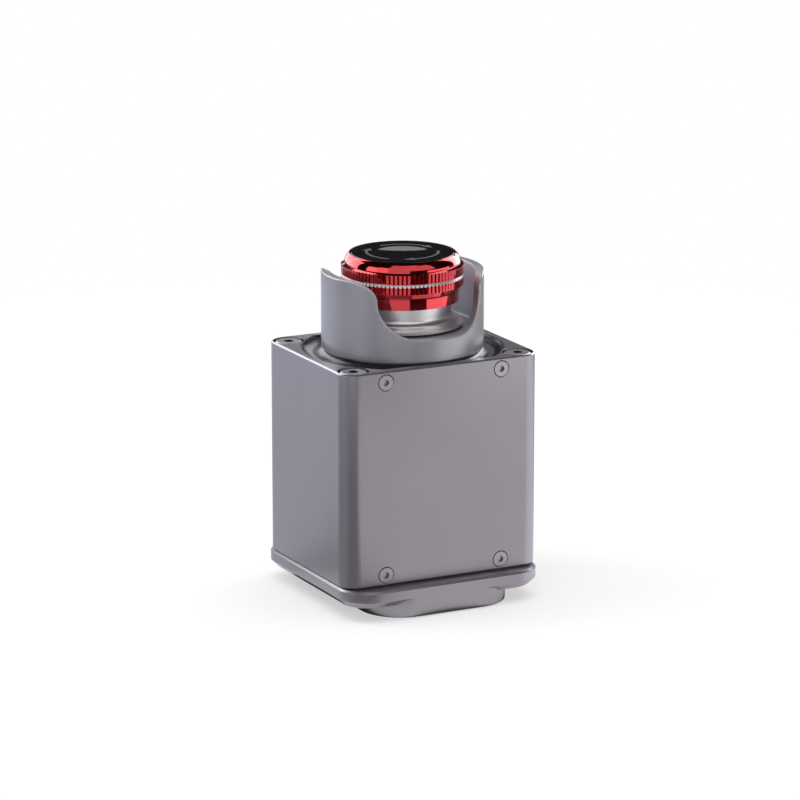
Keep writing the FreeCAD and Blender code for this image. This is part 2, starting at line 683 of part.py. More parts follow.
def knurl():
    """Straight knurl, lands with V slots between them, bevelled on top and parted by a V groove."""
    pitch = 2 * math.pi / KNURL_TEETH
    slot_middle = (1 + KNURL_LAND) / 2
    corners = []
    for tooth in range(KNURL_TEETH):
        for share, depth in ((0, 0), (KNURL_LAND, 0), (slot_middle, KNURL_DEPTH)):
            angle = (tooth + share) * pitch
            radius = HEAD_RADIUS - depth
            corners.append((radius * math.cos(angle), radius * math.sin(angle)))
    outside = HEAD_RADIUS + KNURL_DEPTH
    widening = (KNURL_GROOVE_DEPTH + KNURL_DEPTH) / KNURL_GROOVE_DEPTH
    groove = turned([
        (HEAD_RADIUS - KNURL_GROOVE_DEPTH, KNURL_GROOVE),
        (outside, KNURL_GROOVE - widening * KNURL_GROOVE_BELOW),
        (outside, KNURL_GROOVE + widening * KNURL_GROOVE_ABOVE),
    ])
    bevel = turned([
        (DOME_RADIUS, DOME_BOTTOM),
        (outside, KNURL_TOP - KNURL_CHAMFER * KNURL_DEPTH / DOME_INSET),
        (outside, DOME_BOTTOM),
    ])
    return prism(corners, KNURL_BOTTOM, DOME_BOTTOM).cut([groove, bevel])


def mushroom_head():
    core = DOME_RADIUS - KNURL_DEPTH
    crown = DOME_BOTTOM + DOME_ROUND
    groove = SKIRT_RADIUS - SKIRT_GROOVE_DEPTH
    body = turned([
        (0, crown),
        (DOME_RADIUS, crown, DOME_ROUND),
        (DOME_RADIUS, DOME_BOTTOM),
        (core, DOME_BOTTOM),
        (core, KNURL_BOTTOM),
        (HEAD_RADIUS - KNURL_DEPTH, KNURL_BOTTOM),
        (HEAD_RADIUS - UNDER_BEVEL_IN, BEVEL_BOTTOM),
        (groove, BEVEL_BOTTOM),
        (groove, SKIRT_TOP),
        (SKIRT_RADIUS, SKIRT_TOP),
        (SKIRT_RADIUS, SKIRT_BOTTOM),
        (0, SKIRT_BOTTOM),
    ])
    hollow_radius = SKIRT_RADIUS - SKIRT_WALL
    stem_bore = STEM_RADIUS + FASTENER_FIT
    hollow = turned([
        (0, SKIRT_BOTTOM),
        (hollow_radius, SKIRT_BOTTOM),
        (hollow_radius, HEAD_UNDERSIDE),
        (HUB_RADIUS, HEAD_UNDERSIDE),
        (HUB_RADIUS, HUB_BOTTOM),
        (stem_bore, HUB_BOTTOM),
        (stem_bore, STEM_TOP),
        (0, STEM_TOP),
    ])
    recess = rod(DISC_RADIUS + FASTENER_FIT, DISC_SEAT, HEAD_TOP)
    above = rod(HEAD_RADIUS, HEAD_TOP, crown)
    return body.fuse(knurl()).removeSplitter().cut([hollow, above, recess, head_screw_outline(FASTENER_FIT)])


def head_screw_outline(margin=0):
    """Countersunk screw from the disc's recess down into the stem, or its hole when given a margin."""
    radius = HEAD_SCREW_RADIUS + margin
    head = HEAD_SCREW_HEAD_RADIUS + margin
    bottom = DISC_SEAT - HEAD_SCREW_LENGTH - margin
    return turned([
        (0, DISC_SEAT),
        (head, DISC_SEAT),
        (radius, DISC_SEAT - head + radius),
        (radius, bottom),
        (0, bottom),
    ])


def head_screw():
    socket = prism(hexagon(HEAD_SCREW_SOCKET), DISC_SEAT - HEAD_SCREW_SOCKET_DEPTH, DISC_SEAT)
    return head_screw_outline().cut(socket)


def head_disc():
    """Disc with a shallow dish in its middle."""
    disc = turned([
        (0, HEAD_TOP),
        (DISC_RADIUS - DISC_CHAMFER, HEAD_TOP),
        (DISC_RADIUS, HEAD_TOP - DISC_CHAMFER),
        (DISC_RADIUS, DISC_SEAT),
        (0, DISC_SEAT),
    ])
    ball_radius = (DISH_RADIUS ** 2 + DISH_DEPTH ** 2) / (2 * DISH_DEPTH)
    ball = Part.makeSphere(ball_radius, Vector(0, 0, HEAD_TOP - DISH_DEPTH + ball_radius))
    return disc.cut(ball)


def stem():
    groove_middle = BARREL_WEB_TOP + LATCH_THICKNESS / 2 + TRAVEL
    groove_low = groove_middle - LATCH_THICKNESS
    groove_high = groove_middle + LATCH_THICKNESS
    groove_radius = STEM_RADIUS - LATCH_GROOVE_DEPTH
    clip_bottom = CLIP_TOP - CLIP_THICKNESS
    body = turned([
        (0, STEM_TOP),
        (STEM_RADIUS, STEM_TOP),
        (STEM_RADIUS, SHOULDER_TOP),
        (STEM_SHOULDER_RADIUS, SHOULDER_TOP),
        (STEM_SHOULDER_RADIUS, SHOULDER_BOTTOM),
        (STEM_RADIUS, SHOULDER_BOTTOM),
        (STEM_RADIUS, groove_high),
        (groove_radius, groove_high),
        (groove_radius, groove_low),
        (STEM_RADIUS, groove_low),
        (STEM_RADIUS, YOKE_TOP + TOUCH_GAP),
        (STEM_END_RADIUS, YOKE_TOP + TOUCH_GAP),
        (STEM_END_RADIUS, CLIP_TOP),
        (CLIP_NECK_RADIUS, CLIP_TOP),
        (CLIP_NECK_RADIUS, clip_bottom),
        (STEM_END_RADIUS, clip_bottom),
        (STEM_END_RADIUS, STEM_BOTTOM),
        (0, STEM_BOTTOM),
    ])
    return body.cut(head_screw_outline(FASTENER_FIT))


def stem_clip():
    return tube(CLIP_RADIUS, CLIP_NECK_RADIUS + FASTENER_FIT, CLIP_TOP - CLIP_THICKNESS, CLIP_TOP)


# Contacts

def contact_pusher():
    length = 2 * (CONTACT_X + YOKE_REACH)
    yoke = prism(rectangle(length, YOKE_DEPTH, YOKE_REACH), YOKE_BOTTOM, YOKE_TOP)
    return yoke.cut(rod(STEM_END_RADIUS + RUNNING_FIT, YOKE_BOTTOM, YOKE_TOP))


def block_screw_places():
    return [(side * BLOCK_SCREW_X, end * BLOCK_SCREW_Y) for side in (-1, 1) for end in (-1, 1)]


def block_adapter():
    wide = (-ADAPTER_WIDTH / 2, ADAPTER_WIDTH / 2)
    deep = ADAPTER_DEPTH / 2
    frame = block(wide, (-deep, deep), (BLOCK_TOP, ADAPTER_FRAME_TOP))
    ring = rod(BARREL_RADIUS + ADAPTER_RING_WALL, WINDOW_TOP, ADAPTER_TOP)
    cuts = [
        block(wide, (-ADAPTER_WINDOW, ADAPTER_WINDOW), (WINDOW_BOTTOM, WINDOW_TOP)),
        rod(BARREL_RADIUS + FASTENER_FIT, WINDOW_TOP, ADAPTER_TOP),
        rod(CLIP_RADIUS + STOP_GAP, BLOCK_TOP, WINDOW_BOTTOM),
    ]
    cuts += [rod(PLUNGER_RADIUS + STOP_GAP, BLOCK_TOP, WINDOW_BOTTOM, side * CONTACT_X) for side in (-1, 1)]
    for x, y in block_screw_places():
        cuts.append(rod(BLOCK_SCREW_RADIUS + FASTENER_FIT, BLOCK_TOP, WINDOW_BOTTOM, x, y))
    return frame.fuse(ring).removeSplitter().cut(cuts)


def slotted_screw(radius, length, head_radius, head_height):
    """Upright screw with its head standing on the origin and a slot across the head."""
    screw = rod(radius, -length, 0).fuse(rod(head_radius, 0, head_height)).removeSplitter()
    half = SLOT_WIDTH / 2
    slot = block((-head_radius, head_radius), (-half, half), (head_height - SLOT_DEPTH, head_height))
    return screw.cut(slot)


def block_screws():
    length = ADAPTER_FLOOR + BLOCK_SCREW_GRIP
    screw = slotted_screw(BLOCK_SCREW_RADIUS, length, BLOCK_SCREW_HEAD_RADIUS, BLOCK_SCREW_HEAD)
    screws = []
    for x, y in block_screw_places():
        placed = screw.copy()
        placed.translate(Vector(x, y, WINDOW_BOTTOM))
        screws.append(placed)
    return Part.makeCompound(screws)


def strip_shape(margin, end):
    """One fixed contact, bent down to its terminal, or its slot when given a margin."""
    half = STRIP_WIDTH / 2 + margin
    across = (-half, half)
    tip = STRIP_GAP / 2 - margin
    leg_far = STRIP_LEG_Y + STRIP_THICKNESS + margin
    leg_near = STRIP_LEG_Y - margin
    arm = block(across, span(end * tip, end * leg_far), (STRIP_BOTTOM - margin, STRIP_TOP + margin))
    leg_bottom = STRIP_BOTTOM - STRIP_LEG - margin
    leg = block(across, span(end * leg_near, end * leg_far), (leg_bottom, STRIP_TOP))
    return arm.fuse(leg).removeSplitter()


def terminal_rod(radius, low, high, end):
    """Cylinder along a terminal's axis, measured outwards from the end of the block."""
    return facing(rod(radius, low, high), end, 0, end * BLOCK_DEPTH / 2, TERMINAL_HEIGHT)


def contact_block(side):
    x = side * CONTACT_X
    inner = x - side * BLOCK_WIDTH / 2
    outer = x + side * BLOCK_WIDTH / 2
    deep = BLOCK_DEPTH / 2
    body = block(span(inner, outer), (-deep, deep), (BLOCK_BOTTOM, BLOCK_TOP))
    uprights = [e for e in body.Edges if abs(e.Vertexes[0].Z - e.Vertexes[1].Z) > BLOCK_WALL]
    body = body.makeChamfer(BLOCK_EDGE, uprights)
    half_cavity = BLOCK_CAVITY_DEPTH / 2
    across = span(inner + side * BLOCK_WALL, outer)
    cuts = [
        block(across, (-half_cavity, half_cavity), (CAVITY_BOTTOM, CAVITY_TOP)),
        rod(PLUNGER_RADIUS + RUNNING_FIT, CAVITY_TOP, BLOCK_TOP, x),
    ]
    screw_end = BLOCK_TOP - BLOCK_SCREW_GRIP - TOUCH_GAP
    screw_x = side * BLOCK_SCREW_X
    for end in (-1, 1):
        terminal = terminal_rod(TERMINAL_RADIUS + FASTENER_FIT, -TERMINAL_LENGTH - TOUCH_GAP, 0, end)
        for slot in (strip_shape(SEAT_FIT, end), terminal):
            slot.translate(Vector(x, 0, 0))
            cuts.append(slot)
        screw_y = end * BLOCK_SCREW_Y
        cuts.append(rod(BLOCK_SCREW_RADIUS + FASTENER_FIT, screw_end, BLOCK_TOP, screw_x, screw_y))
    boss_radius = CONTACT_SPRING_RADIUS - CONTACT_WIRE
    boss = rod(boss_radius, CAVITY_BOTTOM, CAVITY_BOTTOM + SPRING_BOSS_HEIGHT, x)
    return body.cut(cuts).fuse(boss).removeSplitter()


def contact_lid(side):
    face = side * (CONTACT_X + BLOCK_WIDTH / 2)
    deep = BLOCK_CAVITY_DEPTH / 2 + LID_MARGIN
    heights = (CAVITY_BOTTOM - LID_MARGIN, CAVITY_TOP + LID_MARGIN)
    return block(span(face, face + side * LID_THICKNESS), (-deep, deep), heights)


def contact_plunger(side):
    x = side * CONTACT_X
    top = YOKE_BOTTOM - TOUCH_GAP
    head = rod(PLUNGER_RADIUS, BRIDGE_TOP, top, x)
    pin = rod(PLUNGER_PIN_RADIUS, BRIDGE_BOTTOM - PLUNGER_PIN_LENGTH, BRIDGE_TOP, x)
    return head.fuse(pin).removeSplitter()


def contact_bridge(side):
    x = side * CONTACT_X
    half = STRIP_WIDTH / 2
    along = (-BRIDGE_LENGTH / 2, BRIDGE_LENGTH / 2)
    strip = block((x - half, x + half), along, (BRIDGE_BOTTOM, BRIDGE_TOP))
    return strip.cut(rod(PLUNGER_PIN_RADIUS + FASTENER_FIT, BRIDGE_BOTTOM, BRIDGE_TOP, x))


def contact_spring(side):
    x = side * CONTACT_X
    return coil(CONTACT_SPRING_RADIUS, CONTACT_WIRE, CAVITY_BOTTOM, BRIDGE_BOTTOM, CONTACT_TURNS, x)


def fixed_contacts(side):
    strips = []
    for end in (-1, 1):
        hole = terminal_rod(TERMINAL_RADIUS + FASTENER_FIT, -BLOCK_DEPTH / 2, 0, end)
        strip = strip_shape(0, end).cut(hole)
        strip.translate(Vector(side * CONTACT_X, 0, 0))
        strips.append(strip)
    return Part.makeCompound(strips)


def terminal_screws():
    screw = slotted_screw(TERMINAL_RADIUS, TERMINAL_LENGTH, TERMINAL_HEAD_RADIUS, TERMINAL_HEAD_HEIGHT)
    screws = []
    for side in SIDES.values():
        for end in (-1, 1):
            screws.append(facing(screw, end, side * CONTACT_X, end * BLOCK_DEPTH / 2, TERMINAL_HEIGHT))
    return Part.makeCompound(screws)


# Lead inlet, turned about its own axis and then set into the back wall

def in_back_wall(shape):
    return facing(shape, 1, 0, BACK_FACE, INLET_AXIS)


def inlet_socket():
    bore = INLET_RADIUS - INLET_WALL
    return in_back_wall(turned([
        (bore, INLET_FLANGE),
        (INLET_FLANGE_RADIUS, INLET_FLANGE, INLET_FLANGE / 4),
        (INLET_FLANGE_RADIUS, 0),
        (INLET_RADIUS, 0),
        (INLET_RADIUS, -INLET_LENGTH),
        (bore, -INLET_LENGTH),
    ]))


def inlet_pin_places():
    angles = [math.radians(45 + 90 * i) for i in range(4)]
    circle = INLET_PIN_CIRCLE
    return [(circle * math.cos(angle), circle * math.sin(angle)) for angle in angles]


def inlet_insert():
    face = INLET_FLANGE - INLET_RECESS
    back = face - INLET_INSERT
    holes = [rod(INLET_PIN_RADIUS + FASTENER_FIT, back, face, x, y) for x, y in inlet_pin_places()]
    return in_back_wall(rod(INLET_RADIUS - INLET_WALL - FASTENER_FIT, back, face).cut(holes))


def inlet_pins():
    face = INLET_FLANGE - INLET_RECESS
    low = face - INLET_INSERT - INLET_PIN_TAIL
    high = face + INLET_PIN_REACH
    pins = [rod(INLET_PIN_RADIUS, low, high, x, y) for x, y in inlet_pin_places()]
    return in_back_wall(Part.makeCompound(pins))


def inlet_nut():
    face = CAVITY_FLAT - BACK_FACE
    nut = prism(hexagon(INLET_NUT_FLATS), face - INLET_NUT_THICKNESS, face)
    return in_back_wall(nut.cut(rod(INLET_RADIUS + FASTENER_FIT, face - INLET_NUT_THICKNESS, face)))


SINGLE_PIECES = [
    base_plate, foot_pad, housing, corner_bolts, front_screws,
    switch_carrier, guard_collar, collar_pin,
    bezel, bezel_gasket, lock_nut, guide_bush, latch_ring, return_spring, spring_seat,
    mushroom_head, head_screw, head_disc, stem, stem_clip,
    contact_pusher, block_adapter, block_screws, terminal_screws,
    inlet_socket, inlet_insert, inlet_pins, inlet_nut,
]
PAIRED_PIECES = [contact_block, contact_lid, contact_plunger, contact_bridge, contact_spring, fixed_contacts]

for piece in SINGLE_PIECES:
    save(piece.__name__, piece())
for piece in PAIRED_PIECES:
    for name, side in SIDES.items():
        save(f"{piece.__name__}_{name}", piece(side))
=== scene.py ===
import math

import bpy
from mathutils import Matrix, Vector

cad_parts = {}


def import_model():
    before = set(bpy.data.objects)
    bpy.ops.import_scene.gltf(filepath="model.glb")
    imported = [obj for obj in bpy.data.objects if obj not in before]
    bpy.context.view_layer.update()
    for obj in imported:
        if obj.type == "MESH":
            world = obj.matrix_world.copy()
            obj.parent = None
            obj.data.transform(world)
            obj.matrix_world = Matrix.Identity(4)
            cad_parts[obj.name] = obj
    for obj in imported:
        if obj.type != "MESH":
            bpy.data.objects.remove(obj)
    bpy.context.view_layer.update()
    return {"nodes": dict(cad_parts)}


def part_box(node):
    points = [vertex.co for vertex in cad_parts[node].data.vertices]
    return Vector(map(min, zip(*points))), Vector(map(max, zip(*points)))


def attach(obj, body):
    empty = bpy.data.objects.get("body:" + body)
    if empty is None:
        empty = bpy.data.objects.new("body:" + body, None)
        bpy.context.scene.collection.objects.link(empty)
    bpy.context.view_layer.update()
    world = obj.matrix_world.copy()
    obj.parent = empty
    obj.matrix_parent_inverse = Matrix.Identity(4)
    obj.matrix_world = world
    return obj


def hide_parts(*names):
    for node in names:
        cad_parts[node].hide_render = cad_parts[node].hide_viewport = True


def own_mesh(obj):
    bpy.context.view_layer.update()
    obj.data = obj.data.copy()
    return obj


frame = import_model()
scene = bpy.context.scene

MM = 0.001

# Places taken from the frame, in metres
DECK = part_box("housing")[1].z
DISC_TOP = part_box("head_disc")[1].z
HEAD_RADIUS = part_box("mushroom_head")[1].x
BOLT_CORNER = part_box("corner_bolts")[1]
SCREW_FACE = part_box("front_screws")[0].y

# Camera, fitted to the photograph's edges: angles in degrees, lens and sensor in millimetres
CAMERA_AZIMUTH = -27.03
CAMERA_ELEVATION = 14.19
CAMERA_DISTANCE = 1.4148
CAMERA_LENS = 194.86
SENSOR_WIDTH = 36
CLIP_END = 20
AIM_LEFT = 0.77 * MM
AIM_DROP = 17.75 * MM

# Turn arrows printed on the disc
ARROW_COUNT = 3
ARROW_RADIUS = 11.7 * MM
ARROW_WIDTH = 1.0 * MM
ARROW_SWEEP = 78.0
ARROW_HEAD_SWEEP = 18.0
ARROW_HEAD_WIDTH = 3.2 * MM
ARROW_START = -11.0
ARROW_STEPS = 28
PRINT_HEIGHT = 0.015 * MM

# Springs that are swapped for copies on the base
PRESSED_SPRINGS = ("return_spring", "contact_spring_left", "contact_spring_right")

# Hex sockets: heads' edge to the bolts' axes, the sockets' corner radius, depths below the heads' faces
# where painted shade and painted light on the sockets' floors begin
BOLT_INSET = 4.5 * MM
BOLT_SOCKET_CORNER = 1.75 * MM
SOCKET_SHADOW = 0.02 * MM
SOCKET_FLOOR = 0.3 * MM

# Groove between the knurled bands, with bare metal and a painted highlight, measured down from the disc's
# top
GROOVE_TOP = 6.9 * MM
GROOVE_BOTTOM = 7.75 * MM
GROOVE_REACH = 0.9

# Edges that stay sharp, in degrees, and how straight a face looks inwards or at the front, as cosines
SHARP_ANGLE = 32.0
INWARD = -0.8
FACING_FRONT = -0.9
# Rays that soften an edge
EDGE_SAMPLES = 4

# Colours of the finishes, each from its dark tone to its light one
RUBBER_TONES = ((0.012, 0.012, 0.013), (0.030, 0.030, 0.031))
TONES = {
    "anodised_case": ((0.32, 0.305, 0.33), (0.36, 0.343, 0.37)),
    "anodised_collar": ((0.39, 0.385, 0.42), (0.43, 0.425, 0.46)),
    # Painted light: the collar's inner walls, the same aluminium as outside, made lighter and bluer for
    # the light they catch
    "anodised_inside_painted_light": ((0.74, 0.79, 0.91), (0.78, 0.83, 0.95)),
    # Painted shade: the case's aluminium in a much darker tone, so the pocket round the collar reads
    # shaded
    "anodised_carrier_painted_shade": ((0.12, 0.118, 0.13), (0.14, 0.138, 0.15)),
    "turned_steel": ((0.70, 0.69, 0.68), (0.82, 0.81, 0.80)),
    "screw_steel": ((0.48, 0.475, 0.48), (0.58, 0.575, 0.58)),
    # Painted shade: near black in the corner bolts' sockets
    "bolt_socket_painted_shade_steel": ((0.020, 0.020, 0.021), (0.045, 0.044, 0.046)),
    "countersunk_steel": ((0.38, 0.372, 0.375), (0.44, 0.43, 0.435)),
    # Painted shade: dark socket walls and rims of the front screws
    "socket_wall_painted_shade_steel": ((0.12, 0.118, 0.12), (0.18, 0.177, 0.18)),
    # Painted light: socket floors lighter than the heads' own steel, standing in for light the occluded
    # floors don't get
    "socket_floor_painted_light_steel": ((0.70, 0.69, 0.695), (0.80, 0.79, 0.795)),
    "inner_steel": ((0.45, 0.45, 0.45), (0.60, 0.60, 0.60)),
    "nickel_plate": ((0.52, 0.51, 0.49), (0.66, 0.65, 0.62)),
    "contact_brass": ((0.52, 0.34, 0.12), (0.74, 0.52, 0.22)),
    "red_anodised": ((0.52, 0.020, 0.028), (0.60, 0.028, 0.038)),
    # Bare cut aluminium, made light and mostly dull so it also paints the groove's highlight all round
    "cut_groove_and_painted_highlight": ((0.78, 0.77, 0.78), (0.90, 0.89, 0.90)),
    "black_disc": ((0.006, 0.006, 0.007), (0.012, 0.011, 0.012)),
    "grey_print": ((0.060, 0.058, 0.062), (0.100, 0.097, 0.102)),
    "pad_rubber": RUBBER_TONES,
    "gasket_rubber": RUBBER_TONES,
    "black_plastic": ((0.018, 0.018, 0.019), (0.032, 0.032, 0.033)),
    "grey_plastic": ((0.30, 0.31, 0.31), (0.38, 0.39, 0.39)),
    "pale_floor": ((0.55, 0.55, 0.55), (0.57, 0.57, 0.57)),
}

# Pieces that are mostly hidden, by what they are made of
STEEL_PIECES = (
    "collar_pin", "lock_nut", "latch_ring", "return_spring", "spring_seat", "head_screw", "stem",
    "stem_clip", "block_screws", "terminal_screws", "contact_spring_left", "contact_spring_right",
)
BRASS_PIECES = (
    "guide_bush", "inlet_pins", "contact_bridge_left", "contact_bridge_right", "fixed_contacts_left",
    "fixed_contacts_right",
)
BLACK_PIECES = (
    "block_adapter", "inlet_insert", "contact_block_left", "contact_block_right", "contact_lid_left",
    "contact_lid_right",
)
GREY_PIECES = ("contact_pusher", "contact_plunger_left", "contact_plunger_right")


# Node building

def new_material(name):
    """A material with an empty tree apart from its output and one Principled shader."""
    material = bpy.data.materials.new(name)
    material.use_nodes = True
    tree = material.node_tree
    shader = tree.nodes["Principled BSDF"]
    return material, tree, shader


def add(tree, kind, **values):
    """A node with its properties and unlinked sockets set by name."""
    node = tree.nodes.new(kind)
    for name, value in values.items():
        if hasattr(node, name):
            setattr(node, name, value)
        else:
            node.inputs[name.replace("_", " ")].default_value = value
    return node


def link(tree, source, target):
    tree.links.new(source, target)


def object_place(tree, stretch=(1, 1, 1)):
    """Object coordinates, stretched to make streaks."""
    place = add(tree, "ShaderNodeTexCoord")
    mapping = add(tree, "ShaderNodeMapping")
    mapping.inputs["Scale"].default_value = stretch
    link(tree, place.outputs["Object"], mapping.inputs["Vector"])
    return mapping.outputs["Vector"]


def noise(tree, vector, scale, detail):
    texture = add(tree, "ShaderNodeTexNoise", Scale=scale, Detail=detail)
    link(tree, vector, texture.inputs["Vector"])
    return texture.outputs["Fac"]


def times(tree, value, factor):
    """A value times a number or another value."""
    node = add(tree, "ShaderNodeMath", operation="MULTIPLY")
    link(tree, value, node.inputs[0])
    if isinstance(factor, float):
        node.inputs[1].default_value = factor
    else:
        link(tree, factor, node.inputs[1])
    return node.outputs[0]


def set_colour(tree, shader, name, value):
    """Base colour that goes from the finish's dark tone to its light one with a 0 to 1 value."""
    dark, light = TONES[name]
    mix = add(tree, "ShaderNodeMix", data_type="RGBA")
    # The mix node's sockets share names with its other types, so the colours are picked by type
    colours = [socket for socket in mix.inputs if socket.type == "RGBA"]
    results = [socket for socket in mix.outputs if socket.type == "RGBA"]
    colours[0].default_value = (*dark, 1)
    colours[1].default_value = (*light, 1)
    link(tree, value, mix.inputs["Factor"])
    link(tree, results[0], shader.inputs["Base Color"])


def set_roughness(tree, shader, value, low, high):
    """Roughness that goes between two limits with a 0 to 1 value."""
    spread = add(tree, "ShaderNodeMapRange")
    spread.inputs["To Min"].default_value = low
    spread.inputs["To Max"].default_value = high
    link(tree, value, spread.inputs["Value"])
    link(tree, spread.outputs["Result"], shader.inputs["Roughness"])


def bump(tree, shader, height, strength, distance, round_edges=0):
    """Surface relief, over edges softened by a small radius where one is given."""
    relief = add(tree, "ShaderNodeBump", Strength=strength, Distance=distance)
    link(tree, height, relief.inputs["Height"])
    if round_edges:
        edge = add(tree, "ShaderNodeBevel", samples=EDGE_SAMPLES, Radius=round_edges)
        link(tree, edge.outputs["Normal"], relief.inputs["Normal"])
    link(tree, relief.outputs["Normal"], shader.inputs["Normal"])


# Materials

def anodised(name, metallic, roughness):
    """Satin anodised aluminium: blasted grain, faint clouding."""
    material, tree, shader = new_material(name)
    place = object_place(tree)
    cloud = noise(tree, place, scale=45, detail=4)
    grain = noise(tree, place, scale=5200, detail=2)
    shader.inputs["Metallic"].default_value = metallic
    set_colour(tree, shader, name, cloud)
    set_roughness(tree, shader, grain, low=roughness - 0.04, high=roughness + 0.04)
    bump(tree, shader, grain, strength=0.10, distance=0.02 * MM, round_edges=0.18 * MM)
    return material


def turned_steel(name, roughness):
    """Stainless steel off the lathe: fine rings round the axis."""
    material, tree, shader = new_material(name)
    rings = noise(tree, object_place(tree, stretch=(60, 60, 9000)), scale=1, detail=2)
    shader.inputs["Metallic"].default_value = 1.0
    shader.inputs["Anisotropic"].default_value = 0.55
    tangent = add(tree, "ShaderNodeTangent", direction_type="RADIAL", axis="Z")
    link(tree, tangent.outputs["Tangent"], shader.inputs["Tangent"])
    set_colour(tree, shader, name, rings)
    set_roughness(tree, shader, rings, low=roughness - 0.05, high=roughness + 0.07)
    bump(tree, shader, rings, strength=0.12, distance=0.01 * MM, round_edges=0.12 * MM)
    return material


def plain_steel(name, roughness):
    """Screw steel with small tumbling marks."""
    material, tree, shader = new_material(name)
    marks = noise(tree, object_place(tree), scale=900, detail=5)
    shader.inputs["Metallic"].default_value = 1.0
    set_colour(tree, shader, name, marks)
    set_roughness(tree, shader, marks, low=roughness - 0.06, high=roughness + 0.08)
    bump(tree, shader, marks, strength=0.12, distance=0.02 * MM, round_edges=0.15 * MM)
    return material


def red_anodised(name):
    """Polished red anodised aluminium."""
    material, tree, shader = new_material(name)
    place = object_place(tree)
    depth = noise(tree, place, scale=160, detail=4)
    polish = noise(tree, place, scale=2600, detail=2)
    shader.inputs["Metallic"].default_value = 1.0
    shader.inputs["Coat Weight"].default_value = 0.8
    shader.inputs["Coat Roughness"].default_value = 0.03
    set_colour(tree, shader, name, depth)
    set_roughness(tree, shader, polish, low=0.07, high=0.12)
    bump(tree, shader, polish, strength=0.05, distance=0.01 * MM, round_edges=0.08 * MM)
    return material


def cut_groove_and_painted_highlight(name):
    """Bare aluminium where a tool has cut through the red skin, made light and mostly dull so that it
    also paints the groove's highlight.
    """
    material, tree, shader = new_material(name)
    rings = noise(tree, object_place(tree, stretch=(60, 60, 14000)), scale=1, detail=2)
    shader.inputs["Metallic"].default_value = 0.4
    set_colour(tree, shader, name, rings)
    set_roughness(tree, shader, rings, low=0.32, high=0.46)
    return material


def black_disc(name):
    """Gloss black lens with faint hairlines."""
    material, tree, shader = new_material(name)
    hairlines = noise(tree, object_place(tree, stretch=(30, 2600, 1)), scale=1, detail=2)
    shader.inputs["Coat Weight"].default_value = 0.6
    shader.inputs["Coat Roughness"].default_value = 0.03
    set_colour(tree, shader, name, hairlines)
    set_roughness(tree, shader, hairlines, low=0.04, high=0.09)
    bump(tree, shader, hairlines, strength=0.04, distance=0.005 * MM)
    return material


def grey_print(name):
    """Screen printed ink."""
    material, tree, shader = new_material(name)
    speckle = noise(tree, object_place(tree), scale=3500, detail=3)
    set_colour(tree, shader, name, speckle)
    set_roughness(tree, shader, speckle, low=0.35, high=0.55)
    return material


def rubber(name):
    """Dull black rubber."""
    material, tree, shader = new_material(name)
    skin = noise(tree, object_place(tree), scale=1400, detail=5)
    set_colour(tree, shader, name, skin)
    set_roughness(tree, shader, skin, low=0.68, high=0.88)
    bump(tree, shader, skin, strength=0.3, distance=0.05 * MM)
    return material


def plastic(name):
    """Moulded plastic with a fine spark-eroded grain."""
    material, tree, shader = new_material(name)
    grain = noise(tree, object_place(tree), scale=2400, detail=4)
    set_colour(tree, shader, name, grain)
    set_roughness(tree, shader, grain, low=0.42, high=0.58)
    bump(tree, shader, grain, strength=0.15, distance=0.03 * MM)
    return material


def brass(name):
    """Bare brass, a little tarnished."""
    material, tree, shader = new_material(name)
    tarnish = noise(tree, object_place(tree), scale=300, detail=5)
    shader.inputs["Metallic"].default_value = 1.0
    set_colour(tree, shader, name, tarnish)
    set_roughness(tree, shader, tarnish, low=0.25, high=0.42)
    return material


# Putting materials on the CAD nodes

def shade_smooth(mesh):
    """Smooth shading with sharp edges kept where the faces turn quickly."""
    mesh.polygons.foreach_set("use_smooth", [True] * len(mesh.polygons))
    mesh.set_sharp_from_angle(angle=math.radians(SHARP_ANGLE))


def dress(material, *nodes):
    """One finish all over each node."""
    for node in nodes:
        mesh = frame["nodes"][node].data
        mesh.materials.clear()
        mesh.materials.append(material)
        shade_smooth(mesh)


def dress_faces(material, node, chosen):
    """One more finish on a node, on the faces that the test picks."""
    mesh = frame["nodes"][node].data
    mesh.materials.append(material)
    index = len(mesh.materials) - 1
    for face in mesh.polygons:
        if chosen(face):
            face.material_index = index


def looks_inwards(face):
    """Towards the button's axis."""
    outwards = face.center.xy.normalized()
    return face.normal.xy.dot(outwards) < INWARD


def in_bolt_socket(face):
    """Near a bolt's axis and below the face of its head: the socket, which gets painted shade."""
    place = face.center
    bolt_x = BOLT_CORNER.x - BOLT_INSET
    bolt_y = BOLT_CORNER.y - BOLT_INSET
    off_axis = math.hypot(abs(place.x) - bolt_x, abs(place.y) - bolt_y)
    return off_axis < BOLT_SOCKET_CORNER and place.z < BOLT_CORNER.z - SOCKET_SHADOW


def behind_screw_face(face):
    """All of a front screw but its face, which gets painted shade. Only the socket's part of it shows."""
    return face.center.y - SCREW_FACE > SOCKET_SHADOW


def on_socket_floor(face):
    """Deep in a front screw and facing the front: the socket's floor, which gets painted light."""
    return face.center.y - SCREW_FACE > SOCKET_FLOOR and face.normal.y < FACING_FRONT


def in_groove(face):
    """In the groove between the head's knurled bands."""
    depth = DISC_TOP - face.center.z
    return GROOVE_TOP < depth < GROOVE_BOTTOM and face.center.xy.length > GROOVE_REACH * HEAD_RADIUS


def dress_case():
    dress(anodised("anodised_case", metallic=0.96, roughness=0.31), "housing", "base_plate")
    # The carrier has the case's finish in a much darker tone, which paints the shade in the pocket round
    # the collar.
    dress(anodised("anodised_carrier_painted_shade", metallic=0.96, roughness=0.24), "switch_carrier")
    dress(rubber("pad_rubber"), "foot_pad")


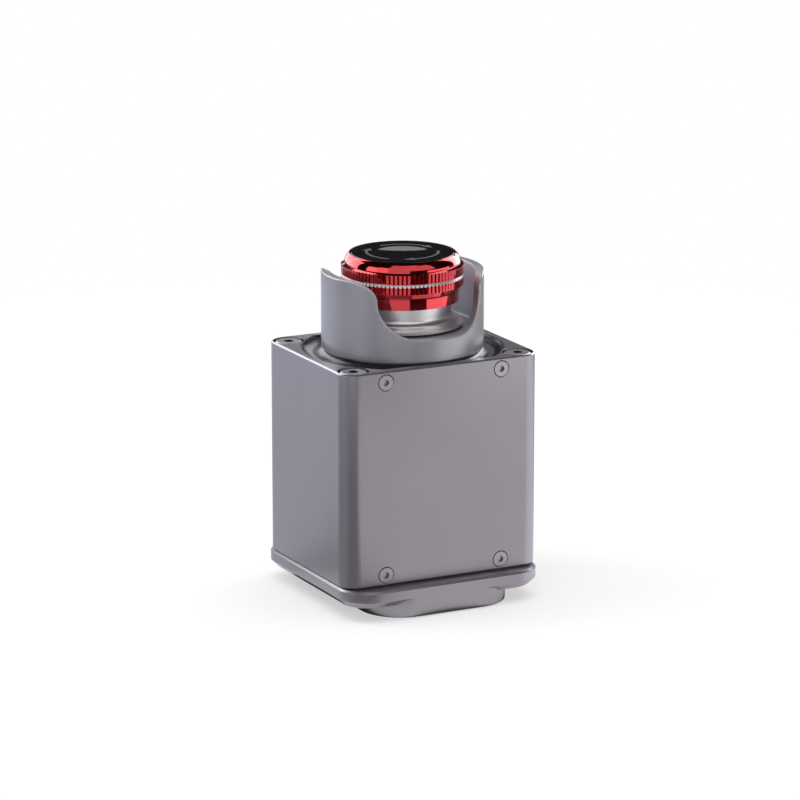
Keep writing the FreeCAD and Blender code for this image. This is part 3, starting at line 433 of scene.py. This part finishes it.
def dress_collar():
    """Satin outside; duller inside, with painted light that makes the inner walls lighter and bluer."""
    dress(anodised("anodised_collar", metallic=0.55, roughness=0.33), "guard_collar")
    # Painted light: the inner walls' lighter, bluer tone
    inside = anodised("anodised_inside_painted_light", metallic=0.10, roughness=0.5)
    dress_faces(inside, "guard_collar", looks_inwards)


def dress_bezel():
    dress(turned_steel("turned_steel", roughness=0.36), "bezel")
    dress(rubber("gasket_rubber"), "bezel_gasket")


def dress_bolts():
    """Bright heads, with painted shade in the sockets."""
    dress(plain_steel("screw_steel", roughness=0.32), "corner_bolts")
    dress_faces(plain_steel("bolt_socket_painted_shade_steel", roughness=0.5), "corner_bolts", in_bolt_socket)


def dress_front_screws():
    """Grey heads, with painted shade on the sockets' walls and painted light on their floors."""
    dress(plain_steel("countersunk_steel", roughness=0.4), "front_screws")
    dress_faces(plain_steel("socket_wall_painted_shade_steel", roughness=0.5), "front_screws", behind_screw_face)
    dress_faces(plain_steel("socket_floor_painted_light_steel", roughness=0.5), "front_screws", on_socket_floor)


def dress_head():
    """Red skin with bare metal and a painted highlight in the groove, and the black disc on top."""
    dress(red_anodised("red_anodised"), "mushroom_head")
    dress_faces(cut_groove_and_painted_highlight("cut_groove_and_painted_highlight"), "mushroom_head", in_groove)
    dress(black_disc("black_disc"), "head_disc")


def dress_hidden():
    """The switch's inside, with the pins and the insert that show in the inlet."""
    dress(plain_steel("inner_steel", roughness=0.32), *STEEL_PIECES)
    dress(brass("contact_brass"), *BRASS_PIECES)
    dress(plastic("black_plastic"), *BLACK_PIECES)
    dress(plastic("grey_plastic"), *GREY_PIECES)


def dress_inlet():
    dress(plain_steel("nickel_plate", roughness=0.22), "inlet_socket", "inlet_nut")


# Turn arrows on the disc

def arc_point(radius, degrees):
    angle = math.radians(degrees)
    return radius * math.sin(angle), radius * math.cos(angle)


def turn_arrow(start):
    """Corner points and faces of one clockwise arrow, laid flat round the axis."""
    points = []
    faces = []
    for step in range(ARROW_STEPS + 1):
        bearing = start + ARROW_SWEEP * step / ARROW_STEPS
        points.append(arc_point(ARROW_RADIUS - ARROW_WIDTH / 2, bearing))
        points.append(arc_point(ARROW_RADIUS + ARROW_WIDTH / 2, bearing))
    for step in range(ARROW_STEPS):
        first = 2 * step
        faces.append((first, first + 1, first + 3, first + 2))
    barb = len(points)
    end = start + ARROW_SWEEP
    points.append(arc_point(ARROW_RADIUS - ARROW_HEAD_WIDTH / 2, end))
    points.append(arc_point(ARROW_RADIUS + ARROW_HEAD_WIDTH / 2, end))
    points.append(arc_point(ARROW_RADIUS, end + ARROW_HEAD_SWEEP))
    faces.append((barb, barb + 1, barb + 2))
    return points, faces


def turn_arrows():
    """All arrows as one flat mesh just above the disc, turning with the head."""
    vertices = []
    faces = []
    for i in range(ARROW_COUNT):
        points, arrow_faces = turn_arrow(ARROW_START + 360 * i / ARROW_COUNT)
        offset = len(vertices)
        vertices += [(x, y, DISC_TOP + PRINT_HEIGHT) for x, y in points]
        faces += [tuple(offset + corner for corner in face) for face in arrow_faces]
    mesh = bpy.data.meshes.new("turn_arrows")
    mesh.from_pydata(vertices, [], faces)
    mesh.materials.append(grey_print("grey_print"))
    arrows = bpy.data.objects.new("turn_arrows", mesh)
    scene.collection.objects.link(arrows)
    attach(arrows, "head")


# Springs inside

def pressed_springs():
    """A copy of each spring on the base, in place of its CAD node, which is hidden."""
    for node in PRESSED_SPRINGS:
        coil = frame["nodes"][node]
        spring = bpy.data.objects.new("pressed_" + node, coil.data.copy())
        spring.matrix_world = coil.matrix_world
        scene.collection.objects.link(spring)
        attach(spring, "base")
        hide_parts(node)
        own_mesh(spring)


# Studio. Directions are azimuths from the front (-Y) towards the right (+X), in degrees.

FLOOR_SIZE = 12.0
FLOOR_ROUGHNESS = 0.9
FLOOR_GLOW = 0.52
FADE_START = 0.15
FADE_END = 0.50
FILL_STRENGTH = 0.14
SOFTBOXES = {
    "overhead_softbox": {"azimuth": 0, "elevation": 89, "distance": 2.2, "size": 3.2, "watts": 50.0,
                         "tint": (1.0, 1.0, 1.0)},
    "right_softbox": {"azimuth": 100, "elevation": 36, "distance": 1.8, "size": 0.8, "watts": 4.0,
                      "tint": (1.0, 0.98, 0.97)},
    "left_softbox": {"azimuth": -120, "elevation": 45, "distance": 1.8, "size": 1.0, "watts": 9.0,
                     "tint": (0.90, 0.94, 1.0)},
}

# Tent of cards that metal mirrors
ALL_ROUND = (-180, 180)
TENT_RADIUS = 190 * MM
TENT_TOP = 400 * MM
TENT_ROOF = 405 * MM
TENT_TONE = (0.012, 0.012, 0.013)
CARD_RADIUS = 185 * MM
DECK_CARD_RADIUS = 100 * MM
APRON_RADIUS = 56 * MM
APRON_LIFT = 0.5 * MM
SHADE_RADII = (10 * MM, 38 * MM)
ROOF_EDGE = 165 * MM
STEPS_PER_DEGREE = 0.25
FEWEST_STEPS = 2

# Heights where cards end, named after what mirrors the cards below them. The camera looks down, so an
# upright face mirrors a part of the tent that lies lower than itself.
HOUSING_LEVEL = 45 * MM
COLLAR_LEVEL = 57 * MM
SKIRT_LEVEL = 66 * MM
WING_LEVEL = 70 * MM
KNURL_LEVEL = 96 * MM

# Cards for the housing, which reach in over the floor: from, to, tone
LOW_CARDS = {
    "left_low_card": (-178, -128, (0.74, 0.76, 0.84)),
    "corner_left_card": (-128, -60, (0.40, 0.40, 0.43)),
    "corner_front_card": (-60, -6, (0.27, 0.26, 0.28)),
    "front_low_card": (-6, 42, (0.87, 0.84, 0.88)),
    "right_low_card": (42, 100, (1.25, 1.22, 1.26)),
    "back_low_card": (100, 182, (0.50, 0.50, 0.52)),
}
# Cards on the tent's wall: from, to, bottom, top, tone
WALL_CARDS = {
    "left_card": (-192, -146, HOUSING_LEVEL, WING_LEVEL, (0.80, 0.84, 1.02)),
    "left_side_card": (-146, -74, HOUSING_LEVEL, WING_LEVEL, (0.76, 0.79, 0.96)),
    "left_collar_card": (-74, -54, HOUSING_LEVEL, COLLAR_LEVEL, (0.76, 0.79, 0.96)),
    "front_fill_card": (-54, 21, HOUSING_LEVEL, COLLAR_LEVEL, (0.60, 0.58, 0.62)),
    "right_card": (21, 81, HOUSING_LEVEL, COLLAR_LEVEL, (1.25, 1.22, 1.26)),
    "right_skirt_card": (21, 81, COLLAR_LEVEL, SKIRT_LEVEL, (1.7, 1.68, 1.7)),
    "right_dim_card": (81, 168, HOUSING_LEVEL, SKIRT_LEVEL, (0.35, 0.34, 0.36)),
    "right_knurl_card": (21, 98, SKIRT_LEVEL, KNURL_LEVEL, (1.15, 1.12, 1.15)),
    "left_edge_window": (-188, -177, 90 * MM, 160 * MM, (1.5, 1.5, 1.55)),
    "left_near_window": (-177, -160, 90 * MM, 250 * MM, (1.9, 1.9, 2.0)),
    "left_window": (-160, -122, 90 * MM, 250 * MM, (3.0, 3.0, 3.05)),
    "left_high_card": (-188, -142, 250 * MM, TENT_TOP, (2.6, 2.6, 2.65)),
    "front_left_card": (-98, -76, 95 * MM, 205 * MM, (2.4, 2.4, 2.4)),
    "front_near_card": (-76, -54, 95 * MM, 228 * MM, (1.6, 1.6, 1.6)),
    "front_right_card": (14, 38, 145 * MM, 345 * MM, (1.05, 1.04, 1.05)),
    "right_rim_card": (21, 72, KNURL_LEVEL, 122 * MM, (2.4, 2.4, 2.4)),
    "right_window": (90, 118, 84 * MM, 272 * MM, (4.4, 4.4, 4.4)),
    "right_edge_window": (118, 131, 84 * MM, 160 * MM, (2.4, 2.4, 2.4)),
    "back_high_card": (140, 166, 165 * MM, 275 * MM, (0.60, 0.57, 0.58)),
    "right_high_card": (90, 142, 275 * MM, TENT_TOP, (1.70, 1.68, 1.75)),
}
# Cards bent over at their top into a roof: from, to, bottom, tone
FRONT_CARDS = {
    "front_card": (-54, -13, COLLAR_LEVEL, (0.95, 0.93, 0.95)),
    "front_high_card": (-13, 14, 145 * MM, (1.00, 0.98, 1.00)),
}
# Cards close behind the object that the deck mirrors and the disc doesn't: from, to, bottom, top, tone
DECK_CARDS = {
    "deck_card_right": (120, 139, 95 * MM, 108 * MM, (0.42, 0.42, 0.42)),
    "deck_card_left": (156, 170, 93 * MM, 118 * MM, (1.30, 1.30, 1.38)),
    "deck_card_far": (170, 181, 93 * MM, 116 * MM, (0.55, 0.55, 0.57)),
}


def seen_directly(tree):
    """1 for rays from the camera and for rays mirrored in metal or passed through glass."""
    path = add(tree, "ShaderNodeLightPath")
    mirrored = add(tree, "ShaderNodeMath", operation="MAXIMUM")
    link(tree, path.outputs["Is Glossy Ray"], mirrored.inputs[0])
    link(tree, path.outputs["Is Transmission Ray"], mirrored.inputs[1])
    seen = add(tree, "ShaderNodeMath", operation="MAXIMUM")
    link(tree, path.outputs["Is Camera Ray"], seen.inputs[0])
    link(tree, mirrored.outputs[0], seen.inputs[1])
    return seen.outputs[0]


def pale_floor(name):
    """Pale and dull near the object, fading to white further out where it is seen."""
    material, tree, shader = new_material(name)
    place = object_place(tree)
    set_colour(tree, shader, name, noise(tree, place, scale=0.6, detail=2))
    shader.inputs["Roughness"].default_value = FLOOR_ROUGHNESS
    shader.inputs["Specular IOR Level"].default_value = 0.0
    seen = seen_directly(tree)
    shader.inputs["Emission Color"].default_value = (1, 1, 1, 1)
    link(tree, times(tree, seen, FLOOR_GLOW), shader.inputs["Emission Strength"])
    distance = add(tree, "ShaderNodeVectorMath", operation="LENGTH")
    link(tree, place, distance.inputs[0])
    fade = add(tree, "ShaderNodeMapRange", interpolation_type="SMOOTHSTEP")
    fade.inputs["From Min"].default_value = FADE_START
    fade.inputs["From Max"].default_value = FADE_END
    link(tree, distance.outputs["Value"], fade.inputs["Value"])
    white = add(tree, "ShaderNodeEmission", Strength=1.0)
    blend = add(tree, "ShaderNodeMixShader")
    link(tree, times(tree, seen, fade.outputs["Result"]), blend.inputs[0])
    link(tree, shader.outputs[0], blend.inputs[1])
    link(tree, white.outputs[0], blend.inputs[2])
    link(tree, blend.outputs[0], tree.nodes["Material Output"].inputs["Surface"])
    return material


def floor():
    """A wide floor that takes the object's shadow."""
    bpy.ops.mesh.primitive_plane_add(size=FLOOR_SIZE)
    plane = bpy.context.object
    plane.name = "floor"
    plane.data.materials.append(pale_floor("pale_floor"))


def towards(azimuth, elevation=0.0):
    """Unit vector in a direction of the studio."""
    turn = math.radians(azimuth)
    lift = math.radians(elevation)
    return Vector((math.sin(turn) * math.cos(lift), -math.cos(turn) * math.cos(lift), math.sin(lift)))


def softboxes():
    """Lamps for the floor and the dull surfaces; metal mirrors the tent instead."""
    target = Vector((0, 0, DECK))
    for name, box in SOFTBOXES.items():
        lamp = bpy.data.lights.new(name, "AREA")
        lamp.size = box["size"]
        lamp.energy = box["watts"]
        lamp.color = box["tint"]
        holder = bpy.data.objects.new(name, lamp)
        holder.location = target + towards(box["azimuth"], box["elevation"]) * box["distance"]
        holder.rotation_euler = (target - holder.location).to_track_quat("-Z", "Y").to_euler()
        holder.visible_glossy = False
        scene.collection.objects.link(holder)


def glow(name, tone):
    """A surface that only glows, in one tone."""
    material, tree, shader = new_material(name)
    shader.inputs["Base Color"].default_value = (0, 0, 0, 1)
    shader.inputs["Specular IOR Level"].default_value = 0.0
    shader.inputs["Emission Color"].default_value = (*tone, 1)
    shader.inputs["Emission Strength"].default_value = 1.0
    return material


def reflection_card(name, start, end, profile, tone):
    """A card swept round the object along a profile of radii and heights, seen only in shiny surfaces."""
    steps = max(FEWEST_STEPS, round((end - start) * STEPS_PER_DEGREE))
    points = []
    for step in range(steps + 1):
        side = towards(start + (end - start) * step / steps)
        points += [(side.x * radius, side.y * radius, height) for radius, height in profile]
    rows = len(profile)
    faces = []
    for step in range(steps):
        for row in range(rows - 1):
            corner = step * rows + row
            faces.append((corner, corner + rows, corner + rows + 1, corner + 1))
    mesh = bpy.data.meshes.new(name)
    mesh.from_pydata(points, [], faces)
    mesh.materials.append(glow(name, tone))
    card = bpy.data.objects.new(name, mesh)
    scene.collection.objects.link(card)
    card.visible_camera = False
    card.visible_diffuse = False
    card.visible_shadow = False


def upright_cards(cards, radius):
    for name, (start, end, bottom, top, tone) in cards.items():
        reflection_card(name, start, end, [(radius, bottom), (radius, top)], tone)


def tent():
    """Dark tent with lighter cards inside it, which gives metal its bands."""
    wall_and_roof = [(TENT_RADIUS, 0), (TENT_RADIUS, TENT_ROOF), (0, TENT_ROOF)]
    reflection_card("dark_tent", *ALL_ROUND, wall_and_roof, TENT_TONE)
    ring = [(radius, APRON_LIFT) for radius in SHADE_RADII]
    reflection_card("shade_below", *ALL_ROUND, ring, TENT_TONE)
    apron = [(APRON_RADIUS, APRON_LIFT), (CARD_RADIUS, APRON_LIFT), (CARD_RADIUS, HOUSING_LEVEL)]
    for name, (start, end, tone) in LOW_CARDS.items():
        reflection_card(name, start, end, apron, tone)
    upright_cards(WALL_CARDS, CARD_RADIUS)
    for name, (start, end, bottom, tone) in FRONT_CARDS.items():
        bent = [(CARD_RADIUS, bottom), (CARD_RADIUS, TENT_TOP), (ROOF_EDGE, TENT_TOP)]
        reflection_card(name, start, end, bent, tone)
    upright_cards(DECK_CARDS, DECK_CARD_RADIUS)


def world():
    """White where it is seen, faint even light on the object."""
    room = bpy.data.worlds.new("studio")
    room.use_nodes = True
    tree = room.node_tree
    fill = tree.nodes["Background"]
    fill.inputs["Color"].default_value = (1, 1, 1, 1)
    fill.inputs["Strength"].default_value = FILL_STRENGTH
    white = add(tree, "ShaderNodeBackground")
    white.inputs["Color"].default_value = (1, 1, 1, 1)
    choose = add(tree, "ShaderNodeMixShader")
    link(tree, seen_directly(tree), choose.inputs[0])
    link(tree, fill.outputs[0], choose.inputs[1])
    link(tree, white.outputs[0], choose.inputs[2])
    link(tree, choose.outputs[0], tree.nodes["World Output"].inputs["Surface"])
    scene.world = room


def camera():
    """The photograph's camera, aimed a little beside and below the middle of the deck."""
    back = towards(CAMERA_AZIMUTH, CAMERA_ELEVATION)
    right = towards(CAMERA_AZIMUTH + 90)
    up = back.cross(right)
    aim = Vector((0, 0, DECK)) - right * AIM_LEFT - up * AIM_DROP
    lens = bpy.data.cameras.new("camera")
    lens.lens = CAMERA_LENS
    lens.sensor_width = SENSOR_WIDTH
    lens.clip_end = CLIP_END
    holder = bpy.data.objects.new("camera", lens)
    turn = Matrix((right, up, back)).transposed()
    holder.matrix_world = Matrix.Translation(aim + back * CAMERA_DISTANCE) @ turn.to_4x4()
    scene.collection.objects.link(holder)
    scene.camera = holder


dress_case()
dress_collar()
dress_bezel()
dress_bolts()
dress_front_screws()
dress_head()
dress_hidden()
dress_inlet()
turn_arrows()
pressed_springs()
floor()
softboxes()
tent()
world()
camera()
scene.view_settings.view_transform = "Standard"
